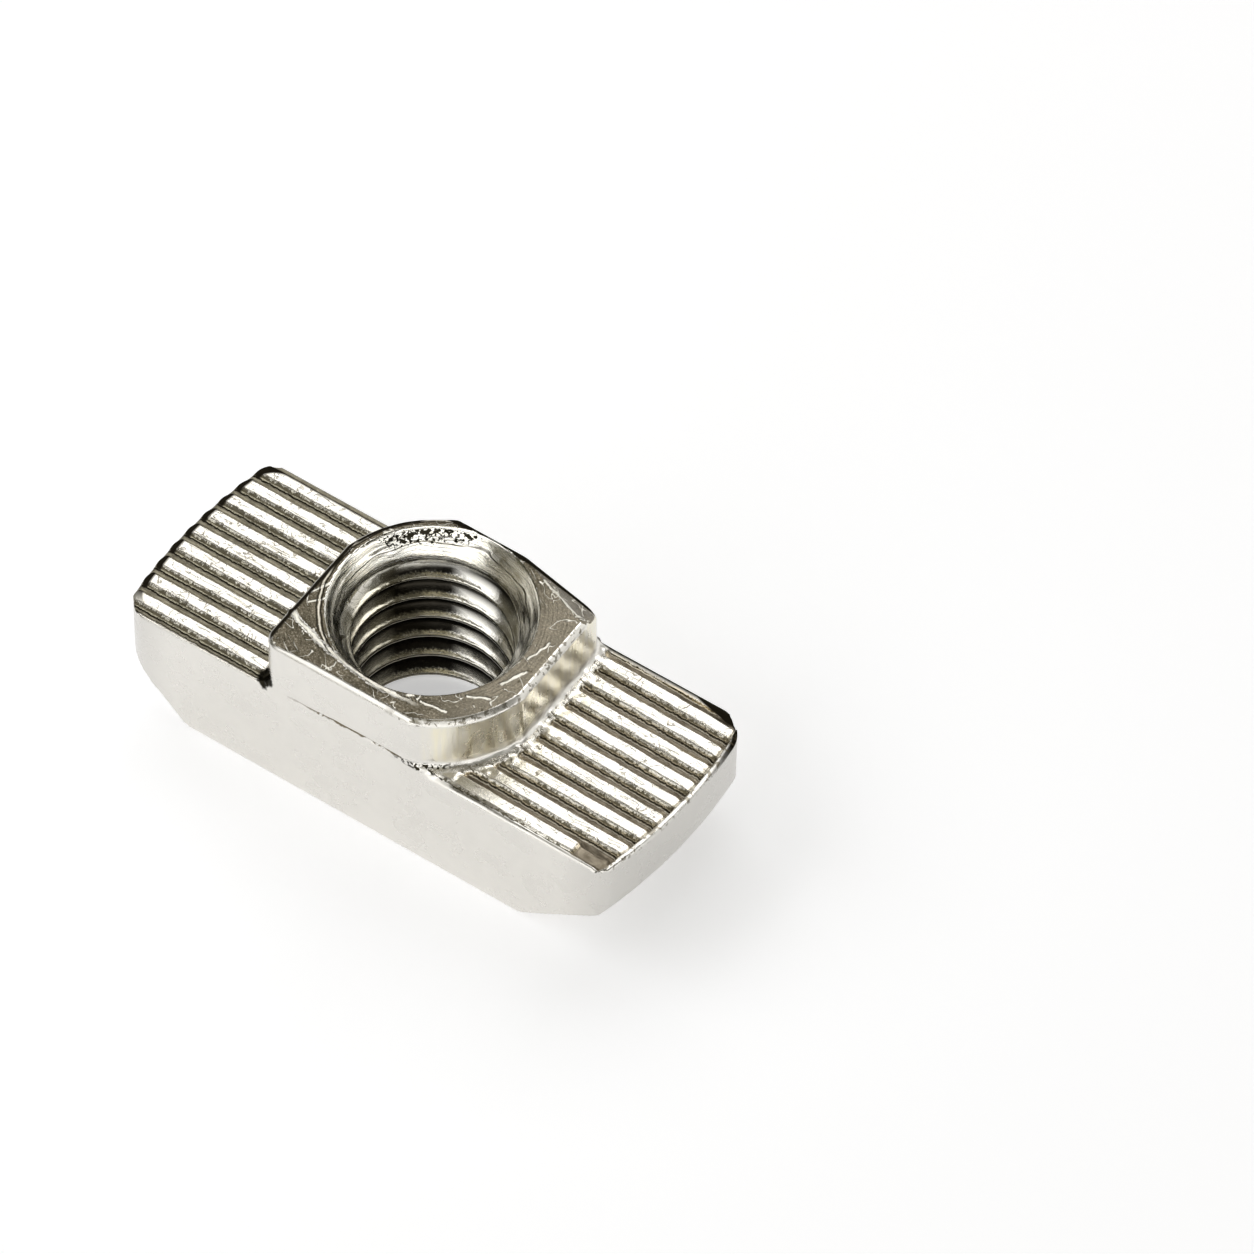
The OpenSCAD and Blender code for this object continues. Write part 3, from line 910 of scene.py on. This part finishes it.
# Painted shade: the thread's left side is darkened to olive
painted_left_shade = where(tree, (at_x, -1.2, -2.6), in_thread)
colour = paint(tree, colour, painted_left_shade, (0.44, 0.405, 0.305), 0.8)

# The countersink's wall is torn below its back rim
back = vector_calc(tree, "DOT_PRODUCT", place, (-0.6, 0.8, 0))
zone = where(
    tree, (back, 2.9, 3.3), (at_z, TOP - 0.8, TOP - 0.45), (at_z, TOP - 0.06, TOP - 0.14)
)
torn = uneven(tree, place, (7, 7, 10), 3.0, Distortion=0.6)[0]
torn = spread(tree, calc(tree, "ADD", torn, choose(tree, zone, -0.4, 0.01)), 0.50, 0.53)
colour = paint(tree, colour, torn, POCKET_BLACK)

# Painted shade: the thread's roots are painted near black, and more widely in a spot at the back
# left; a painted dark line of shadow runs along the crests
spot = vector_calc(tree, "SUBTRACT", place, (*BORE, 0))
spot = calc(tree, "DIVIDE", vector_calc(tree, "DOT_PRODUCT", spot, (-0.66, 0.75, 0)), off)
wavy = calc(tree, "ADD", off, swing(tree, tooth["Height"], 0.05))
spot = where(tree, (spot, 0.80, 0.95), (wavy, 2.64, 2.74))
painted_root_shade = either(tree, spread(tree, off, 2.68, 2.90), spot)
painted_root_shade = calc(tree, "MULTIPLY", painted_root_shade, in_thread)
colour = paint(tree, colour, painted_root_shade, (0.012, 0.010, 0.007), 0.985)
painted_crest_shadow = where(tree, (off, 2.60, 2.57), in_thread)
colour = paint(tree, colour, painted_crest_shadow, (0.10, 0.085, 0.05), 0.7)
colour = paint(tree, colour, tooth["Pits"], (0.12, 0.10, 0.06), 0.7)
height = calc(tree, "ADD", calc(tree, "MULTIPLY", tooth["Height"], 0.3), rings)
height = calc(tree, "SUBTRACT", height, torn)
dress(tree, shader, colour, choose(tree, cloud, 0.12, 0.24), height, 0.015, 0.6)

# Each face takes the finish of its place
nut.data.materials.clear()
for plate in (side, ridge, crown, bore):
    nut.data.materials.append(plate)
SIDE, RIDGE, CROWN, IN_BORE = range(4)
faces = len(nut.data.polygons)
middles, normals = np.empty(faces * 3), np.empty(faces * 3)
nut.data.polygons.foreach_get("center", middles)
nut.data.polygons.foreach_get("normal", normals)
middles = middles.reshape(-1, 3) / MM
x, y, z = middles.T
up = normals.reshape(-1, 3)[:, 2]
_, outside_neck, _, inset, from_bore = gaps(x, y)
finishes = np.full(faces, SIDE, dtype=np.int32)
on_ridges = (z > 4.2) & (z < 4.95) & (up > 0.1) & (outside_neck > 0.12)
finishes[on_ridges & (inset > np.where(x > 0, 0.17, 0.06))] = RIDGE
dropped = (middles - np.array(BACK_DROP[0])) @ np.array(BACK_DROP[1]) > -0.06
flat = (up > 0.95) | (dropped & (up > 0.55))
finishes[(z > 5.6) & flat & (from_bore > 3.3)] = CROWN
finishes[(from_bore < 3.37) & ((up < 0.95) | (from_bore < 3.3)) & (z > 0.02)] = IN_BORE
nut.data.polygons.foreach_set("material_index", finishes)
nut.data.update()

# ---- The floor, the light and the camera ----
# White paper under soft lamps. Some lamps only show in the plating or only fall on the paper, and
# the camera stands as the photograph's did, far off with a long lens.
PAPER = (0.83, 0.835, 0.86)
PAPER_GLOW = 0.45
ROOM = (0.09, 0.083, 0.06)

bpy.ops.object.select_all(action="DESELECT")
bpy.ops.mesh.primitive_plane_add(size=4, location=(0, 0, 0))
floor = bpy.context.object
floor.name = "floor"
paper = bpy.data.materials.new("white_paper")
paper.use_nodes = True
tree = paper.node_tree
tree.nodes.clear()
ray = node(tree, "LightPath").outputs
seen = either(tree, ray["Is Camera Ray"], ray["Is Glossy Ray"])
glow = node(tree, "Emission", {"Strength": calc(tree, "MULTIPLY", seen, PAPER_GLOW)}).outputs[0]
matt = node(tree, "BsdfDiffuse", {"Color": (*PAPER, 1)}).outputs[0]
lit = node(tree, "AddShader", {0: matt, 1: glow}).outputs[0]
node(tree, "OutputMaterial", {"Surface": lit})
floor.data.materials.append(paper)

world = bpy.data.worlds.new("studio")
bpy.context.scene.world = world
world.use_nodes = True
tree = world.node_tree
tree.nodes.clear()
sky = node(tree, "Background", {"Color": (1, 1, 1, 1), "Strength": 1}).outputs[0]
room = node(tree, "Background", {"Color": (*ROOM, 1), "Strength": 1}).outputs[0]
seen = node(tree, "LightPath").outputs["Is Camera Ray"]
lit = node(tree, "MixShader", {0: seen, 1: room, 2: sky}).outputs[0]
node(tree, "OutputWorld", {"Surface": lit})

LAMP_DISTANCE = 0.5


def softbox(name, azimuth, elevation, width, height, brightness, lights="both", tint=(1, 1, 1)):
    """A soft lamp that looks at the nut from a compass angle and an elevation, as a camera's are
    given. It lights both, or only shows in the plating, or only falls on the paper."""
    a, e = math.radians(azimuth), math.radians(elevation)
    back = Vector((math.sin(a) * math.cos(e), -math.cos(a) * math.cos(e), math.sin(e)))
    lamp = bpy.data.lights.new(name, "AREA")
    lamp.shape, lamp.size, lamp.size_y = "RECTANGLE", width, height
    lamp.energy = brightness * math.pi * width * height
    lamp.color = tint
    piece = bpy.data.objects.new(name, lamp)
    bpy.context.scene.collection.objects.link(piece)
    piece.location = back * LAMP_DISTANCE
    piece.rotation_euler = back.to_track_quat("Z", "Y").to_euler()
    piece.visible_camera = False
    piece.visible_diffuse = lights != "plating"
    piece.visible_glossy = lights != "paper"


softbox("back_left", 213, 52, 0.52, 0.38, 1.6)
softbox("left", 296, 44, 0.34, 0.34, 1.9, "paper")
softbox("front_left", -14, 38, 0.38, 0.30, 1.6)
softbox("top", 33, 82, 0.22, 0.22, 0.6)
softbox("back_right", 147, 52, 0.36, 0.36, 2.4, "plating")
softbox("front_right_strip", 38, 31, 0.62, 0.13, 1.7, "plating")
softbox("right_strip", 122, 20, 0.36, 0.12, 1.1, "plating")
softbox("front_high", 30, 56, 0.26, 0.12, 0.25, "plating", (1, 0.9, 0.6))
softbox("low_back", 155, 6, 0.50, 0.15, 1.1, "plating")
for azimuth in (0, 45, 90):
    softbox("low", azimuth, 7, 0.38, 0.15, 1.7, "plating")

EYE = (0.10566184, -0.14975028, 0.24516998)
EYE_TURN, EYE_LOOKS_DOWN, EYE_ROLL = 33.329, 52.469, 1.196
eye = bpy.data.cameras.new("camera")
eye.lens, eye.sensor_width = 276.8, 36
eye.clip_start, eye.clip_end = 0.01, 10
camera = bpy.data.objects.new("camera", eye)
bpy.context.scene.collection.objects.link(camera)
camera.matrix_world = (
    Matrix.Translation(EYE)
    @ Matrix.Rotation(math.radians(EYE_TURN), 4, "Z")
    @ Matrix.Rotation(math.radians(90 - EYE_LOOKS_DOWN), 4, "X")
    @ Matrix.Rotation(math.radians(EYE_ROLL), 4, "Z")
)
bpy.context.scene.camera = camera
bpy.context.scene.view_settings.view_transform = "Standard"
